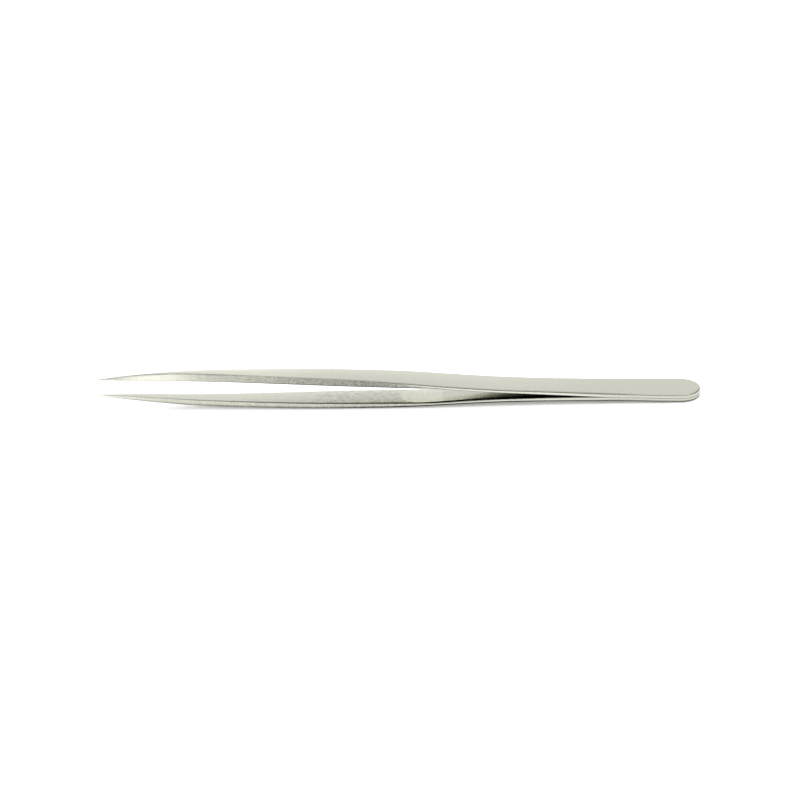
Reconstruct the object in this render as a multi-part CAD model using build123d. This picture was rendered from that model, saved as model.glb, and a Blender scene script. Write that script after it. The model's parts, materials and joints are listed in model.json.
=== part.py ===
from build123d import *
import math
import os

# Precision tweezers: two spring-steel arms, mirror images of each other, lie face to face at the
# rear, where weld nuggets hold them, and part towards two needle-fine tips. Millimetres.
#
# An arm is laid out with the tweezers' mid-plane level at z = 0. There a station is the distance
# from the rear end towards the tips, which point along -X, and a height is above the mid-plane.
# Last of all the tweezers are tipped onto the two places where they rest on a table.

LENGTH = 140.0          # rear end to tips
HEEL_WIDTH = 9.3        # across the half-round rear end
HEEL_STRAIGHT = 9.0     # station where the heel starts to narrow
HEEL_SIDE_STATIONS = (12.5, 16.0)   # between there and the weld's end, on the heel's sides
LEAF_THICKNESS = 0.93   # of each arm in the weld
WELD_END = 20.0         # station where the two arms part
HINGE_STATION = 42.0    # where the bending of an arm can be taken to happen
BELLY_STATION = 84.0    # where grip and jaw meet, close to where the lower arm rests
POINT_SIZE = 0.1        # width and thickness of a tip

EDGE_BREAK = 0.2        # rounding of the outer edges, made as a small flat
INNER_BREAK = 0.05      # the same along the edges of the seam and of the jaws' inner faces
HEEL_END_SLOPE = -0.025 # of the heel's sides in plan, where the arms part
BEVEL_SLOPE = 0.28      # rise of the bevel on the handle's inner edges, for each mm of its width

NUGGET_STATIONS = (4.7, 9.7, 14.7)
NUGGET_DIAMETER = 3.0
NUGGET_DEPTH = 0.35     # how far a nugget reaches into each arm

# Curves along an arm, as (station, value) points. Each starts level, and is held before its start.
OUTER_HEIGHT = [(14, LEAF_THICKNESS), (24, 1.07), (35, 1.33), (46, 1.68), (58, 2.40), (70, 3.22),
                (84, 3.83), (97, 4.10), (108, 4.19), (118, 4.08), (126, 3.64), (133, 2.98),
                (LENGTH, 1.94)]
INNER_HEIGHT = [(WELD_END, 0.0), (29, 0.13), (38, 0.38), (46, 0.67), (56, 1.22), (64, 1.72),
                (72, 1.90), (84, 2.12), (97, 2.32), (108, 2.38), (116, 2.33), (128, 2.03),
                (134, 1.90), (LENGTH, 1.94 - POINT_SIZE)]
OUTER_WIDTH = [(HEEL_STRAIGHT, HEEL_WIDTH), (14, 8.85), (21, 8.45), (38, 7.75), (60, 7.7),
               (70, 7.1), (80, 6.1), (91, 5.25), (104, 3.65), (116, 2.0), (124, 0.85),
               (130, 0.4), (LENGTH, POINT_SIZE)]
INNER_WIDTH = [(HEEL_STRAIGHT, HEEL_WIDTH), (14, 8.85), (21, 8.45), (38, 7.75), (60, 7.7),
               (72, 7.5), (84, 7.0), (93, 6.3), (104, 5.0), (116, 3.5), (128, 1.95),
               (134, 1.05), (LENGTH, POINT_SIZE)]
BEVEL_WIDTH = [(WELD_END, INNER_BREAK), (34, 0.5), (44, 0.7), (58, 0.7), (68, INNER_BREAK),
               (LENGTH, INNER_BREAK)]

SECTION_SPACING = 2.5   # at most this far apart, the arm's cross-sections are joined smoothly


def along(curve, station):
    """The value at a station of a smooth curve through (station, value) points.

    Between two points it never leaves their values' range, and it turns only at a point.
    """
    at = [point[0] for point in curve]
    value = [point[1] for point in curve]
    if station <= at[0]:
        return value[0]
    last = len(curve) - 1
    gap = [at[i + 1] - at[i] for i in range(last)]
    slope = [(value[i + 1] - value[i]) / gap[i] for i in range(last)]

    def tangent(i):
        if i == last:
            return slope[-1]
        if i == 0 or slope[i - 1] * slope[i] <= 0:
            return 0.0
        before = 2 * gap[i] + gap[i - 1]
        after = gap[i] + 2 * gap[i - 1]
        return (before + after) / (before / slope[i - 1] + after / slope[i])

    k = next(i for i in range(last) if station <= at[i + 1])
    t = (station - at[k]) / gap[k]
    return (
        value[k] * (1 + 2 * t) * (1 - t) ** 2
        + value[k + 1] * t**2 * (3 - 2 * t)
        + gap[k] * tangent(k) * t * (1 - t) ** 2
        - gap[k] * tangent(k + 1) * t**2 * (1 - t)
    )


def section(station):
    """The arm's cross-section: a trapezoid with broken outer edges and bevelled inner ones."""
    top = along(OUTER_HEIGHT, station)
    bottom = along(INNER_HEIGHT, station)
    outer = along(OUTER_WIDTH, station) / 2
    inner = along(INNER_WIDTH, station) / 2
    flare = (inner - outer) / (top - bottom)
    edge = min(EDGE_BREAK, outer / 3, (top - bottom) / 3)
    bevel = min(along(BEVEL_WIDTH, station), inner / 3)
    rise = bevel * BEVEL_SLOPE
    right = [
        (outer - edge, top),
        (outer + flare * edge, top - edge),
        (inner - flare * rise, bottom + rise),
        (inner - bevel, bottom),
    ]
    left = [(-y, z) for y, z in reversed(right)]
    return Face(Wire.make_polygon([Vector(-station, y, z) for y, z in right + left]))


def strip(start, end):
    """The arm between two stations."""
    count = math.ceil((end - start) / SECTION_SPACING)
    stations = [start + (end - start) * k / count for k in range(count + 1)]
    return loft([section(station) for station in stations])


def heel_plate():
    """The arm's welded end: half-round at the rear, then narrowing to where the arms part."""
    radius = HEEL_WIDTH / 2
    narrowing = [
        (-station, along(OUTER_WIDTH, station) / 2)
        for station in (HEEL_STRAIGHT, *HEEL_SIDE_STATIONS, WELD_END)
    ]
    rear = RadiusArc((-radius, -radius), (-radius, radius), -radius)
    straight = Line((-radius, radius), narrowing[0])
    side = Spline(*narrowing, tangents=[(-1, 0), (-1, HEEL_END_SLOPE)])
    end = Line(narrowing[-1], (narrowing[-1][0], -narrowing[-1][1]))
    outline = [rear, straight, side, end, mirror(side, Plane.XZ), mirror(straight, Plane.XZ)]
    plate = extrude(make_face(outline), LEAF_THICKNESS)
    plate = break_edges(plate, plate.faces().sort_by(Axis.Z)[-1], EDGE_BREAK, EDGE_BREAK)
    return break_edges(
        plate, plate.faces().sort_by(Axis.Z)[0], INNER_BREAK, INNER_BREAK * BEVEL_SLOPE
    )


def break_edges(plate, face, width, depth):
    """Chamfers a face's edges, but for the one where the plate runs on into the rest of the arm."""
    cut_end = face.edges().sort_by(Axis.X)[0]
    edges = [edge for edge in face.edges() if edge != cut_end]
    return chamfer(edges, width, depth, reference=face)


def nuggets():
    """Lens-shaped weld nuggets, half in each arm."""
    radius = (NUGGET_DIAMETER**2 / 4 + NUGGET_DEPTH**2) / (2 * NUGGET_DEPTH)
    upper_cap = Pos(0, 0, NUGGET_DEPTH - radius) * Sphere(radius)
    lower_cap = Pos(0, 0, radius - NUGGET_DEPTH) * Sphere(radius)
    lens = upper_cap & lower_cap
    return [Pos(-station, 0, 0) * lens for station in NUGGET_STATIONS]


def tilt_at_rest():
    """Degrees about Y that bring the heel's rear edge and the lower arm's belly down to one level."""
    return max(
        math.degrees(
            math.atan2(along(OUTER_HEIGHT, station) - LEAF_THICKNESS, station - EDGE_BREAK)
        )
        for station in range(round(HINGE_STATION), round(LENGTH))
    )


weld_nuggets = nuggets()
upper_heel = heel_plate() + strip(WELD_END, HINGE_STATION)
for nugget in weld_nuggets:
    upper_heel -= nugget
upper_grip = strip(HINGE_STATION, BELLY_STATION)
upper_jaw = strip(BELLY_STATION, LENGTH)

nodes = {
    "upper_heel": upper_heel,
    "upper_grip": upper_grip,
    "upper_jaw": upper_jaw,
    "lower_heel": mirror(upper_heel, Plane.XY),
    "lower_grip": mirror(upper_grip, Plane.XY),
    "lower_jaw": mirror(upper_jaw, Plane.XY),
    "weld_nuggets": Compound(weld_nuggets),
}

# The row's frame: the origin is the centre of the box's bottom, where the tweezers rest.
tilted = Rot(0, tilt_at_rest(), 0)
box = Compound([tilted * shape for shape in nodes.values()]).bounding_box()
placing = Pos(-box.center().X, -box.center().Y, -box.min.Z) * tilted

os.makedirs("parts", exist_ok=True)
for name, shape in nodes.items():
    export_step(placing * shape, f"parts/{name}.step")
    print(name, round(shape.volume, 3), shape.is_valid)
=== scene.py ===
import json
import math

import bpy
import numpy as np
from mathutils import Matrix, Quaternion, Vector


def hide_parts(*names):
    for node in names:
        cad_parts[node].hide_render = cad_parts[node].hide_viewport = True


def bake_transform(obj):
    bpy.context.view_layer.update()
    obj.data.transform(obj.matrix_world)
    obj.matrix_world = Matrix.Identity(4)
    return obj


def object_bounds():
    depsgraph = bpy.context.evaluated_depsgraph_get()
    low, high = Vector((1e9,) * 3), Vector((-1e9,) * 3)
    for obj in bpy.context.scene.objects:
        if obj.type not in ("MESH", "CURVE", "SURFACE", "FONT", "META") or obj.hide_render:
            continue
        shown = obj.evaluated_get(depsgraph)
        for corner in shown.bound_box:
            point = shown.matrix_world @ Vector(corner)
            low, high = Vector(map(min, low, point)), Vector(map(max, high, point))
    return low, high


# Precision tweezers: two satin spring-steel arms, welded face to face at the half-round heel.
#
# The shape is worked out in the arm's own frame, in millimetres: a station is the distance from
# the rear end towards the tips, across is to the side, and a height is above the plane where the
# two arms meet. The frame's two joints say where that plane lies.

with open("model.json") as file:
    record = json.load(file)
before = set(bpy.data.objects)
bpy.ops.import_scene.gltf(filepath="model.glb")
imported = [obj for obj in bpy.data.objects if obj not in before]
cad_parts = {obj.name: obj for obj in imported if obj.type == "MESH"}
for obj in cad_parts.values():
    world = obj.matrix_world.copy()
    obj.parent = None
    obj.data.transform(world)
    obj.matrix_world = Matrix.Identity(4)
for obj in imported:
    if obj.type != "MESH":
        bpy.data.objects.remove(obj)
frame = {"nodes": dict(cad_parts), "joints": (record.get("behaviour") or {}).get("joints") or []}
cad_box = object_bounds()

MM = 0.001              # metres

LENGTH = 140.0          # rear end to tips
HEEL_WIDTH = 9.3        # across the half-round rear end
HEEL_STRAIGHT = 9.0     # station where the heel starts to narrow
LEAF_THICKNESS = 0.93   # of each arm in the weld
WELD_END = 20.0         # station where the two arms part
HINGE_STATION = 42.0    # the joints' station
POINT_SIZE = 0.1        # width and thickness of a tip

ARRIS_RADII = (0.12, 0.05)  # of the bevel's corners with the side and with the inner face
HOLD = 0.05             # flat margin beside a rounding, which keeps its shading to itself
ROUNDED_SHARE = 0.4     # a rounding takes at most this share of the shorter side beside it

# The grinding wheel's run-out on the inner face is a shallow dish with a rounded front.
DISH_START = 60.0
DISH_LENGTH = 9.7
DISH_HALF_WIDTH = 5.2
DISH_DEPTH = 0.12
DISH_FADE = 14.0        # behind its start the dish becomes shallower over this length
BELLY_MARGIN = 3.0      # of the inner face, beside its edges, over which its belly falls away

# Curves along an arm, as (station, value) points. Each starts level, and is held before its start.
# CROWN is how far the outer face rises midway and falls at its edges, and BELLY is how far the
# inner face stands proud midway.
OUTER_HEIGHT = [(14, LEAF_THICKNESS), (24, 1.07), (35, 1.33), (46, 1.68), (58, 2.40), (70, 3.22),
                (84, 3.83), (97, 4.10), (108, 4.19), (118, 4.08), (126, 3.64), (133, 2.98),
                (LENGTH, 1.94)]
INNER_HEIGHT = [(WELD_END, 0.0), (29, 0.13), (38, 0.38), (46, 0.67), (56, 1.22), (64, 1.72),
                (72, 1.90), (84, 2.12), (97, 2.32), (108, 2.38), (116, 2.33), (128, 2.03),
                (134, 1.90), (LENGTH, 1.94 - POINT_SIZE)]
OUTER_WIDTH = [(HEEL_STRAIGHT, HEEL_WIDTH), (14, 8.85), (21, 8.45), (38, 7.75), (60, 7.7),
               (70, 7.1), (80, 6.1), (91, 5.25), (104, 3.65), (116, 2.0), (124, 0.85),
               (130, 0.4), (LENGTH, POINT_SIZE)]
INNER_WIDTH = [(HEEL_STRAIGHT, HEEL_WIDTH), (14, 8.85), (21, 8.45), (38, 7.75), (60, 7.7),
               (72, 7.5), (84, 7.0), (93, 6.3), (104, 5.0), (116, 3.5), (128, 1.95),
               (134, 1.05), (LENGTH, POINT_SIZE)]
BEVEL_WIDTH = [(WELD_END, 0.06), (34, 0.5), (44, 0.7), (56, 0.6), (68, 0.2), (88, 0.16),
               (LENGTH, 0.05)]
BEVEL_RISE = [(WELD_END, 0.06), (34, 0.14), (44, 0.2), (68, 0.19), (88, 0.17), (LENGTH, 0.05)]
EDGE_RADIUS = [(60, 0.25), (90, 0.25), (112, 0.14), (LENGTH, 0.1)]   # of the outer edges
CROWN = [(10, 0.015), (40, 0.08), (60, 0.13), (100, 0.12), (125, 0.0), (LENGTH, 0.0)]
BELLY = [(30, 0.0), (50, 0.15), (72, 0.15), (90, 0.1), (115, 0.02), (LENGTH, 0.0)]


def along(curve, station):
    """The value at a station of a smooth curve through (station, value) points.

    Between two points it never leaves their values' range, and it turns only at a point.
    """
    at = [point[0] for point in curve]
    value = [point[1] for point in curve]
    if station <= at[0]:
        return value[0]
    last = len(curve) - 1
    gap = [at[i + 1] - at[i] for i in range(last)]
    slope = [(value[i + 1] - value[i]) / gap[i] for i in range(last)]

    def tangent(i):
        if i == last:
            return slope[-1]
        if i == 0 or slope[i - 1] * slope[i] <= 0:
            return 0.0
        before = 2 * gap[i] + gap[i - 1]
        after = gap[i] + 2 * gap[i - 1]
        return (before + after) / (before / slope[i - 1] + after / slope[i])

    k = next(i for i in range(last) if station <= at[i + 1])
    t = (station - at[k]) / gap[k]
    return (
        value[k] * (1 + 2 * t) * (1 - t) ** 2
        + value[k + 1] * t**2 * (3 - 2 * t)
        + gap[k] * tangent(k) * t * (1 - t) ** 2
        - gap[k] * tangent(k + 1) * t**2 * (1 - t)
    )


# ---- the shape of an arm ----

def run(start, end, steps):
    """Points strictly between two points, the first and last of them a flat margin from the ends."""
    length = np.linalg.norm(end - start)
    margin = min(HOLD / length, 0.2)
    return [start + (end - start) * t for t in np.linspace(margin, 1 - margin, steps)]


def corner_arc(before, corner, after, radius, steps):
    """Points of the arc that rounds a corner."""
    back, ahead = before - corner, after - corner
    shortest = min(np.linalg.norm(back), np.linalg.norm(ahead))
    back, ahead = back / np.linalg.norm(back), ahead / np.linalg.norm(ahead)
    half = math.acos(np.clip(back @ ahead, -1, 1)) / 2
    reach = min(radius / math.tan(half), ROUNDED_SHARE * shortest)
    radius = reach * math.tan(half)
    inward = (back + ahead) / np.linalg.norm(back + ahead)
    centre = corner + inward * reach / math.cos(half)
    turn = math.pi / 2 - half
    side = (back - ahead) / np.linalg.norm(back - ahead)
    angles = np.linspace(turn, -turn, steps)
    return [centre + radius * (side * math.sin(a) - inward * math.cos(a)) for a in angles]


# How many points each part of a section has, from mid outer face round to mid inner face
EDGE_STEPS, CREASE_STEPS, BEVEL_STEPS = 8, 4, 3
ROWS = {"outer": 9, "edge": EDGE_STEPS, "side": 6, "arris": CREASE_STEPS,
        "bevel": BEVEL_STEPS + CREASE_STEPS, "inner": 16}


def half_section(station):
    """An arm's section from the middle of its outer face round to the middle of its inner face."""
    top, bottom = along(OUTER_HEIGHT, station), along(INNER_HEIGHT, station)
    outer, inner = along(OUTER_WIDTH, station) / 2, along(INNER_WIDTH, station) / 2
    crown = min(along(CROWN, station), outer / 8)
    bevel = min(along(BEVEL_WIDTH, station), inner / 3)
    flare = (inner - outer) / (top - bottom)
    rise = min(along(BEVEL_RISE, station), (top - bottom) / 4)
    corners = [
        np.array(point)
        for point in [
            (0.0, top + crown), (outer, top - crown), (inner - flare * rise, bottom + rise),
            (inner - bevel, bottom), (0.0, bottom),
        ]
    ]
    radii = [along(EDGE_RADIUS, station), *ARRIS_RADII]
    steps = [EDGE_STEPS, CREASE_STEPS, CREASE_STEPS]
    arcs = [corner_arc(*corners[i:i + 3], radii[i], steps[i]) for i in range(3)]
    points = [corners[0], *run(corners[0], arcs[0][0], ROWS["outer"] - 1), *arcs[0]]
    points += run(arcs[0][-1], arcs[1][0], ROWS["side"])
    points += arcs[1] + run(arcs[1][-1], arcs[2][0], BEVEL_STEPS) + arcs[2]
    points += run(arcs[2][-1], corners[-1], ROWS["inner"] - 1) + [corners[-1]]
    points = np.array(points)
    crowned = slice(0, ROWS["outer"])
    points[crowned, 1] = top - crown * (points[crowned, 0] / outer) ** 2
    ground = slice(-ROWS["inner"], None)
    points[ground, 1] += dish_depth(station, points[ground, 0])
    points[ground, 1] -= belly(station, points[ground, 0], inner)
    return points


def dish_depth(station, across):
    """How deep the wheel's run-out is cut into the inner face."""
    if station > DISH_START:
        lengthwise = (station - DISH_START) / DISH_LENGTH
        fade = 1.0
    else:
        lengthwise = 0.0
        fade = max(0.0, 1 - (DISH_START - station) / DISH_FADE)
        fade = fade * fade * (3 - 2 * fade)
    return DISH_DEPTH * fade * np.clip(1 - lengthwise**2 - (across / DISH_HALF_WIDTH) ** 2, 0, 1)


def belly(station, across, half_width):
    """How far the inner face stands proud of its own edges."""
    margin = min(BELLY_MARGIN, 0.8 * half_width)
    return along(BELLY, station) * (1 - np.clip(1 - (half_width - across) / margin, 0, 1) ** 2)


TIP_RADIUS = POINT_SIZE / 2
TIP_START = 124.0       # from here on the stations lie closer together


def arm_stations():
    """From the tip back to the centre of the half-round heel."""
    cap = [LENGTH - TIP_RADIUS * (1 - math.sin(a)) for a in np.linspace(math.pi / 2, 0, 7)]
    point = list(np.linspace(LENGTH - TIP_RADIUS, TIP_START, 70))[1:]
    rest = list(np.linspace(TIP_START, HEEL_WIDTH / 2, 320))[1:]
    return cap + point + rest


def arm_columns():
    """Columns of (station, across, height) points: along one side, round the rear, and back."""
    near = []
    for station in arm_stations():
        section = half_section(station)
        beyond = max(0.0, station - (LENGTH - TIP_RADIUS)) / TIP_RADIUS
        middle = np.array([0.0, (section[0, 1] + section[-1, 1]) / 2])
        section = middle + (section - middle) * math.sqrt(max(0.0, 1 - beyond**2))
        near.append(np.column_stack([np.full(len(section), station), section]))
    centre, profile = HEEL_WIDTH / 2, near[-1]
    rear = []
    for angle in np.linspace(0, math.pi, 97)[1:-1]:
        ring = profile.copy()
        ring[:, 0] = centre - profile[:, 1] * math.sin(angle)
        ring[:, 1] = profile[:, 1] * math.cos(angle)
        rear.append(ring)
    far = [column * (1, -1, 1) for column in reversed(near)]
    return np.array(near + rear + far)


def row_frame():
    """Where the joints' station meets the mid-plane, the way to the tips, and the way up."""
    place = {joint["name"]: Vector(joint["pos_m"]) for joint in frame["joints"]}
    upper, lower = place["upper_arm_flex"], place["lower_arm_flex"]
    up = (upper - lower).normalized()
    return (upper + lower) / 2, up.cross(Vector((0, 1, 0))), up


def placed(points):
    """(station, across, height) points in millimetres, in the row frame in metres."""
    origin, ahead, up = (np.array(v) for v in row_frame())
    station, across, height = (np.asarray(points, float) * MM).T
    return (
        origin
        + np.outer(station - HINGE_STATION * MM, ahead)
        + np.outer(across, (0, 1, 0))
        + np.outer(height, up)
    )


def lowness():
    """For each row of an arm, how far down its side it is: 0 at the outer face, 1 at the inner one."""
    above, below = ROWS["outer"] + ROWS["edge"], ROWS["arris"] + ROWS["bevel"] + ROWS["inner"]
    return np.concatenate([np.zeros(above), np.linspace(0, 1, ROWS["side"]), np.ones(below)])


def arm_faces(index):
    """Quads between neighbouring columns of point numbers, and triangles where two points are one."""
    faces = []
    for before, after in zip(index[:-1], index[1:]):
        for j in range(len(before) - 1):
            ring = [before[j], before[j + 1], after[j + 1], after[j]]
            ring = [int(v) for k, v in enumerate(ring) if v != ring[k - 1]]
            if len(set(ring)) > 2:
                faces.append(ring)
    return faces


def arm_mesh(name, side):
    """An arm in a single mesh that says of each point where on the arm it lies."""
    columns = arm_columns()
    count, rows = columns.shape[:2]
    points, first, index = np.unique(
        np.round(columns.reshape(-1, 3), 5), axis=0, return_index=True, return_inverse=True
    )
    faces = arm_faces(index.reshape(count, rows))
    if side < 0:
        faces = [ring[::-1] for ring in faces]
    mesh = bpy.data.meshes.new(name)
    mesh.from_pydata(placed(points * (1, 1, side)).tolist(), [], faces)
    mesh.attributes.new("place", "FLOAT_VECTOR", "POINT").data.foreach_set(
        "vector", points.astype(np.float32).ravel()
    )
    zone = np.repeat(np.arange(len(ROWS)), list(ROWS.values()))
    marks = {face: zone == k for k, face in enumerate(ROWS)}
    marks["low"] = lowness()
    marks["lower"] = np.full(rows, side < 0)
    for mark, values in marks.items():
        mesh.attributes.new(mark, "FLOAT", "POINT").data.foreach_set(
            "value", np.tile(values, count)[first].astype(np.float32)
        )
    mesh.polygons.foreach_set("use_smooth", [True] * len(mesh.polygons))
    mesh.validate()
    return mesh


def make_arm(level, side, material):
    """The upper or lower arm. side is 1 for the upper arm and -1 for the lower."""
    name = f"{level}_arm"
    arm = bpy.data.objects.new(name, arm_mesh(name, side))
    arm.data.materials.append(material)
    bpy.context.scene.collection.objects.link(arm)
    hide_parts(f"{level}_heel", f"{level}_grip", f"{level}_jaw")
    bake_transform(arm)


# ---- materials ----

class Shading:
    """Short names for the nodes that the materials are made of."""

    def __init__(self, tree):
        self.nodes, self.links = tree.nodes, tree.links

    def add(self, kind, **settings):
        node = self.nodes.new(kind)
        for name, value in settings.items():
            setattr(node, name, value)
        return node

    def feed(self, socket, value):
        """Links a socket to another node's output, or sets it to a number or a colour."""
        if isinstance(value, bpy.types.NodeSocket):
            self.links.new(value, socket)
        else:
            socket.default_value = value

    def attribute(self, name, output="Fac"):
        return self.add("ShaderNodeAttribute", attribute_name=name).outputs[output]

    def math(self, operation, *values):
        node = self.add("ShaderNodeMath", operation=operation)
        for socket, value in zip(node.inputs, values):
            self.feed(socket, value)
        return node.outputs[0]

    def ramp(self, value, low, high, to_low=0.0, to_high=1.0):
        """Goes smoothly from to_low to to_high as value goes from low to high."""
        node = self.add("ShaderNodeMapRange", interpolation_type="SMOOTHSTEP")
        for socket, number in zip(node.inputs, (value, low, high, to_low, to_high)):
            self.feed(socket, number)
        return node.outputs["Result"]

    def fade(self, value, low, high):
        """Goes smoothly from 1 to 0 as value goes from low to high."""
        return self.ramp(value, low, high, 1.0, 0.0)

    def noise(self, place, scale, detail=3.0, roughness=0.5):
        """Noise from 0 to 1. scale is how many features it has in one unit of place, each way."""
        stretch = self.add("ShaderNodeVectorMath", operation="MULTIPLY")
        self.feed(stretch.inputs[0], place)
        self.feed(stretch.inputs[1], scale)
        node = self.add("ShaderNodeTexNoise", noise_dimensions="3D")
        self.feed(node.inputs["Vector"], stretch.outputs[0])
        self.feed(node.inputs["Scale"], 1.0)
        self.feed(node.inputs["Detail"], detail)
        self.feed(node.inputs["Roughness"], roughness)
        return node.outputs["Fac"]

    def around_zero(self, value, size):
        """A 0 to 1 value as one from -size to size."""
        return self.math("MULTIPLY", self.math("SUBTRACT", value, 0.5), 2 * size)

    def product(self, *values):
        result = values[0]
        for value in values[1:]:
            result = self.math("MULTIPLY", result, value)
        return result

    def total(self, *values):
        result = values[0]
        for value in values[1:]:
            result = self.math("ADD", result, value)
        return result

    def roughen(self, shader, relief):
        """Gives a shader a relief in millimetres."""
        bump = self.add("ShaderNodeBump")
        self.feed(bump.inputs["Distance"], MM)
        self.feed(bump.inputs["Height"], relief)
        self.feed(shader.inputs["Normal"], bump.outputs[0])

    def tinted(self, value, colour):
        """A colour times a value."""
        node = self.add("ShaderNodeVectorMath", operation="SCALE")
        self.feed(node.inputs[0], colour)
        self.feed(node.inputs["Scale"], value)
        return node.outputs[0]


def new_material(name, kind=Shading):
    """A material, the Shading that adds nodes to it, and its shader."""
    material = bpy.data.materials.new(name)
    material.use_nodes = True
    return material, kind(material.node_tree), material.node_tree.nodes["Principled BSDF"]


STEEL = (0.60, 0.597, 0.522)
WELD = (0.52, 0.50, 0.45)

# The stations at which each change in an arm's look starts and ends
HEEL_BRIGHTENS = (20.0, 45.0)
JAW_BRIGHTENS = (70.0, 110.0)
OUTER_BRIGHTENS = (84.0, 108.0)     # the outer face
OUTER_ENDS = (120.0, 132.0)         # it has become a mere line, which is painted dark on the upper arm: painted shade
EDGE_DARKENS = (10.0, 24.0)
SIDE_BRIGHTENS = (18.0, 30.0)
GRINDING_STARTS = (67.0, 72.0)      # on the sides, at the outer face
GRINDING_SLANT = 11.0               # it starts so much earlier at the inner face
GRINDING_REFINES = (86.0, 113.0)
GRAIN_WEAKENS = (108.0, 124.0)
TIP_LINE_STARTS = (98.0, 118.0)     # painted shade: a dark line along the upper edge of the upper arm's jaw sides
JAW_SIDE_HIGHLIGHT_STARTS = (112.0, 132.0)      # painted highlight on the upper arm's jaw sides
JAW_SIDE_HIGHLIGHT_GROWS = (126.0, 136.0)
RIM_STARTS = (34.0, 42.0)           # the shade beside the table deepens
RIM_ENDS = (72.0, 90.0)
RIM_SOFTENS = (108.0, 132.0)
ARRIS_DARKENS = (46.0, 62.0)
BEVEL_DARKENS = (20.0, 28.0)
CREASES_SOFTEN = (92.0, 130.0)
WEDGE_OPENS = (36.0, 56.0)          # light starts to reach the inner faces
UPPER_WEDGE_OPENS = (46.0, 64.0)    # and the upper one, which looks down
INNER_ROUGHENS = (56.0, 72.0)
DISH_APPEARS = (DISH_START - 0.8, DISH_START + 0.6)
MOTTLING_STARTS = (DISH_START, DISH_START + 8.0)
MOTTLING_ENDS = (84.0, 96.0)


class ArmShading(Shading):
    """Adds values from 0 to 1 that say what part of an arm a point of its surface belongs to."""

    def __init__(self, tree):
        super().__init__(tree)
        self.place = self.attribute("place", "Vector")
        split = self.add("ShaderNodeSeparateXYZ")
        self.feed(split.inputs[0], self.place)
        self.station, self.across = split.outputs["X"], split.outputs["Y"]
        self.outer, self.edge, self.side, self.arris, self.bevel, self.inner = (
            self.attribute(face) for face in ROWS
        )
        self.low, self.lower = self.attribute("low"), self.attribute("lower")
        self.upper = self.math("SUBTRACT", 1.0, self.lower)

    def on(self, face, low, high, to_low=0.0, to_high=1.0):
        """A face's share of a ramp along the arm."""
        return self.product(face, self.ramp(self.station, low, high, to_low, to_high))

    def flank(self):
        """The ground sides of the jaws."""
        slant = self.total(self.station, self.product(self.low, GRINDING_SLANT))
        return self.product(self.side, self.ramp(slant, *GRINDING_STARTS))

    def dish(self):
        """The wheel's run-out on the inner face, and the mottled stretch of the face ahead of it."""
        lengthwise = self.math("DIVIDE", self.math("SUBTRACT", self.station, DISH_START), DISH_LENGTH)
        crosswise = self.math("DIVIDE", self.across, DISH_HALF_WIDTH)
        reach = self.total(self.product(lengthwise, lengthwise), self.product(crosswise, crosswise))
        within = self.product(self.on(self.inner, *DISH_APPEARS), self.fade(reach, 0.9, 1.05))
        ahead = self.product(
            self.on(self.inner, *MOTTLING_STARTS),
            self.fade(self.station, *MOTTLING_ENDS),
            self.ramp(reach, 0.95, 1.2),
        )
        return within, ahead

    def creases(self):
        """The arrises and bevels along the inner face, where little light gets in."""
        softer = self.ramp(self.station, *CREASES_SOFTEN, 1.0, 0.6)
        arris = self.product(self.on(self.arris, *ARRIS_DARKENS, 0.3, 1.0), softer)
        bevel = self.product(self.on(self.bevel, *BEVEL_DARKENS, 0.4, 1.0), softer)
        return self.total(arris, bevel)

    def rims(self):
        """The shaded strip of the lower arm next to the table, and the darkest stretch of it."""
        strip = self.total(
            self.product(self.side, self.fade(self.low, 0.1, 0.42)), self.product(self.edge, 0.4)
        )
        resting = self.product(self.lower, strip, self.ramp(self.station, *RIM_SOFTENS, 1.0, 0.8))
        darkest = self.product(
            resting, self.ramp(self.station, *RIM_STARTS), self.fade(self.station, *RIM_ENDS)
        )
        return resting, darkest


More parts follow.
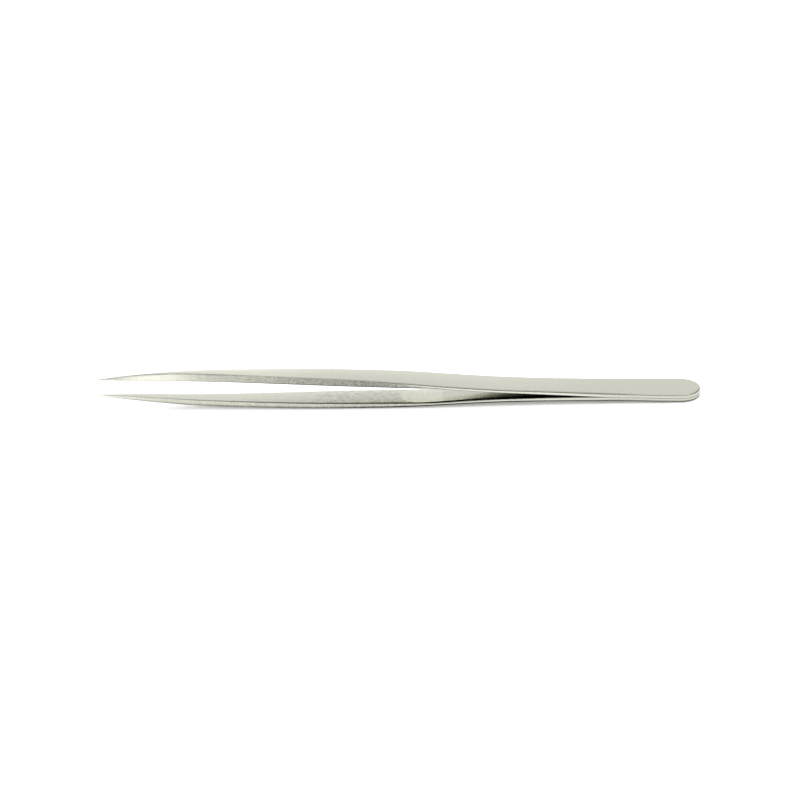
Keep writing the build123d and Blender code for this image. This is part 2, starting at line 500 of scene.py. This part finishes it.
def satin_steel():
    """Fine brushing along the arms, coarse ground flanks on the jaws, and the wheel's run-out, with
    painted shade and painted highlights mixed into the tone.
    """
    material, arm, shader = new_material("satin_steel", ArmShading)
    product, around_zero = arm.product, arm.around_zero
    flank = arm.flank()
    coarse = product(flank, arm.fade(arm.station, *GRINDING_REFINES))
    dish, ahead_of_dish = arm.dish()
    resting_rim, darkest_rim = arm.rims()

    brushing = arm.noise(arm.place, (0.35, 7.0, 7.0), detail=4.0)
    mottling = arm.noise(arm.place, (0.7, 1.1, 1.1), detail=4.0, roughness=0.6)
    grain = arm.noise(arm.place, (3.0, 4.5, 4.5), detail=3.0, roughness=0.65)
    streaks = arm.noise(arm.place, (2.2, 0.25, 0.25), detail=3.0)

    tone = arm.total(
        1.0,
        around_zero(mottling, 0.03),
        around_zero(brushing, 0.02),
        arm.ramp(arm.station, *HEEL_BRIGHTENS, -0.06, 0.0),
        arm.ramp(arm.station, *JAW_BRIGHTENS, 0.0, 0.09),
        # outer face and its edges
        arm.on(arm.outer, *OUTER_BRIGHTENS, 0.0, 0.13),
        # painted shade on the upper arm's outer face where it narrows to a line
        product(arm.upper, arm.on(arm.outer, *OUTER_ENDS, 0.0, -0.45)),
        # painted shade along the outer edges' roundings
        arm.on(arm.edge, *EDGE_DARKENS, -0.5, -0.7),
        # sides
        arm.on(arm.side, *SIDE_BRIGHTENS, -0.12, 0.0),
        # darker ground flanks: partly the grind's own tone, partly painted shade, which makes the
        # upper arm's flanks far darker than the lower arm's
        product(coarse, arm.total(-0.34, product(arm.lower, 0.31))),
        product(flank, arm.ramp(arm.station, *GRAIN_WEAKENS, 1.0, 0.4), around_zero(grain, 1.0)),
        # painted highlight on the upper arm's jaw sides, brighter towards the tips
        product(
            arm.upper,
            arm.on(arm.side, *JAW_SIDE_HIGHLIGHT_STARTS),
            arm.ramp(arm.station, *JAW_SIDE_HIGHLIGHT_GROWS, 0.25, 0.35),
        ),
        # painted shade: a dark line along the upper edge of the upper arm's jaw sides
        product(arm.upper, arm.on(arm.side, *TIP_LINE_STARTS), arm.fade(arm.low, 0.0, 0.25), -0.5),
        product(resting_rim, -0.5),
        product(darkest_rim, -0.3),
        product(arm.creases(), -0.92),
        # inner face
        arm.on(arm.inner, *WEDGE_OPENS, -0.5, 0.0),
        product(arm.upper, arm.on(arm.inner, *UPPER_WEDGE_OPENS, -0.4, 0.0)),
        product(dish, arm.total(0.12, around_zero(streaks, 0.1))),
        product(ahead_of_dish, arm.total(-0.06, around_zero(mottling, 0.45))),
    )
    arm.feed(shader.inputs["Base Color"], arm.tinted(tone, STEEL))
    arm.feed(shader.inputs["Metallic"], 1.0)
    roughness = arm.total(
        0.28,
        around_zero(mottling, 0.04),
        product(flank, 0.06),
        product(coarse, 0.06),
        arm.on(arm.inner, *INNER_ROUGHENS, -0.1, 0.0),
        product(arm.edge, -0.1),
    )
    arm.feed(shader.inputs["Roughness"], roughness)
    relief = arm.total(
        product(brushing, 0.0012), product(grain, flank, 0.03), product(streaks, dish, 0.004)
    )
    arm.roughen(shader, relief)
    return material


def weld_steel():
    """The cast, slightly uneven grey of a spot weld, tinted by its heat."""
    material, shading, shader = new_material("weld_steel")
    place = shading.add("ShaderNodeTexCoord").outputs["Object"]
    swirl = shading.noise(place, (900.0, 900.0, 900.0), detail=4.0, roughness=0.6)
    tone = shading.total(0.8, shading.around_zero(swirl, 0.25))
    shading.feed(shader.inputs["Base Color"], shading.tinted(tone, WELD))
    shading.feed(shader.inputs["Metallic"], 1.0)
    shading.feed(shader.inputs["Roughness"], shading.total(0.42, shading.around_zero(swirl, 0.1)))
    shading.roughen(shader, shading.product(swirl, 0.02))
    return material


# ---- the studio ----

def make_floor():
    half, level = 20.0, cad_box[0].z
    mesh = bpy.data.meshes.new("floor")
    corners = [(-half, -half, level), (half, -half, level), (half, half, level), (-half, half, level)]
    mesh.from_pydata(corners, [], [(0, 1, 2, 3)])
    floor = bpy.data.objects.new("floor", mesh)
    bpy.context.scene.collection.objects.link(floor)
    material, shading, shader = new_material("floor_white")
    shading.feed(shader.inputs["Base Color"], (0.72, 0.72, 0.72, 1))
    shading.feed(shader.inputs["Emission Color"], (1, 1, 1, 1))
    shading.feed(shader.inputs["Emission Strength"], 0.2)
    shading.feed(shader.inputs["Roughness"], 0.9)
    shading.feed(shader.inputs["Specular IOR Level"], 0.0)
    mesh.materials.append(material)


def make_world():
    """Soft light all round, a large light above and behind, one in front, a dark strip below it."""
    world = bpy.data.worlds.new("studio")
    bpy.context.scene.world = world
    world.use_nodes = True
    shading = Shading(world.node_tree)
    split = shading.add("ShaderNodeSeparateXYZ")
    shading.feed(split.inputs[0], shading.add("ShaderNodeTexCoord").outputs["Generated"])
    height, ahead = split.outputs["Z"], split.outputs["Y"]

    facing = shading.fade(ahead, -0.6, -0.3)
    strip = shading.product(shading.fade(ahead, -0.85, -0.55), shading.fade(height, 0.28, 0.45))
    front_light = shading.product(
        facing, shading.ramp(height, 0.38, 0.56), shading.fade(height, 0.6, 0.7)
    )
    overhead = shading.product(shading.ramp(height, 0.65, 0.85), shading.math("SUBTRACT", 1.0, facing))
    behind = shading.product(shading.ramp(ahead, 0.2, 0.7), shading.ramp(height, 0.2, 0.7, 0.2, -0.3))
    light = shading.total(
        1.0,
        shading.product(strip, -0.95),
        shading.product(front_light, 1.4),
        shading.product(overhead, 2.0),
        behind,
    )
    background = world.node_tree.nodes["Background"]
    shading.feed(background.inputs["Color"], shading.tinted(light, (1.0, 1.0, 1.0)))
    shading.feed(background.inputs["Strength"], 1.0)


def make_camera():
    """A long lens in front of the tweezers, looking down on them at a slant."""
    elevation, roll = math.radians(25.0), math.radians(1.52)
    view_width = 185.7 * MM
    aim_right, aim_below = 0.3 * MM, 2.6 * MM
    lens, sensor = 300.0, 36.0
    camera = bpy.data.objects.new("camera", bpy.data.cameras.new("camera"))
    bpy.context.scene.collection.objects.link(camera)
    bpy.context.scene.camera = camera
    camera.data.lens = lens
    camera.data.sensor_width = sensor
    camera.data.clip_end = 100
    back = Vector((0, -math.cos(elevation), math.sin(elevation)))
    turn = (-back).to_track_quat("-Z", "Y") @ Quaternion((0, 0, 1), -roll)
    aim = Vector(placed([(LENGTH / 2, 0, 0)])[0]) + turn @ Vector((aim_right, -aim_below, 0))
    camera.rotation_mode = "QUATERNION"
    camera.rotation_quaternion = turn
    camera.location = aim + back * view_width * lens / sensor


steel = satin_steel()
make_arm("upper", 1, steel)
make_arm("lower", -1, steel)
weld_material = weld_steel()
for slot in frame["nodes"]["weld_nuggets"].material_slots:
    slot.material = weld_material
make_floor()
make_world()
make_camera()
bpy.context.scene.view_settings.view_transform = "Standard"

bpy.context.view_layer.update()
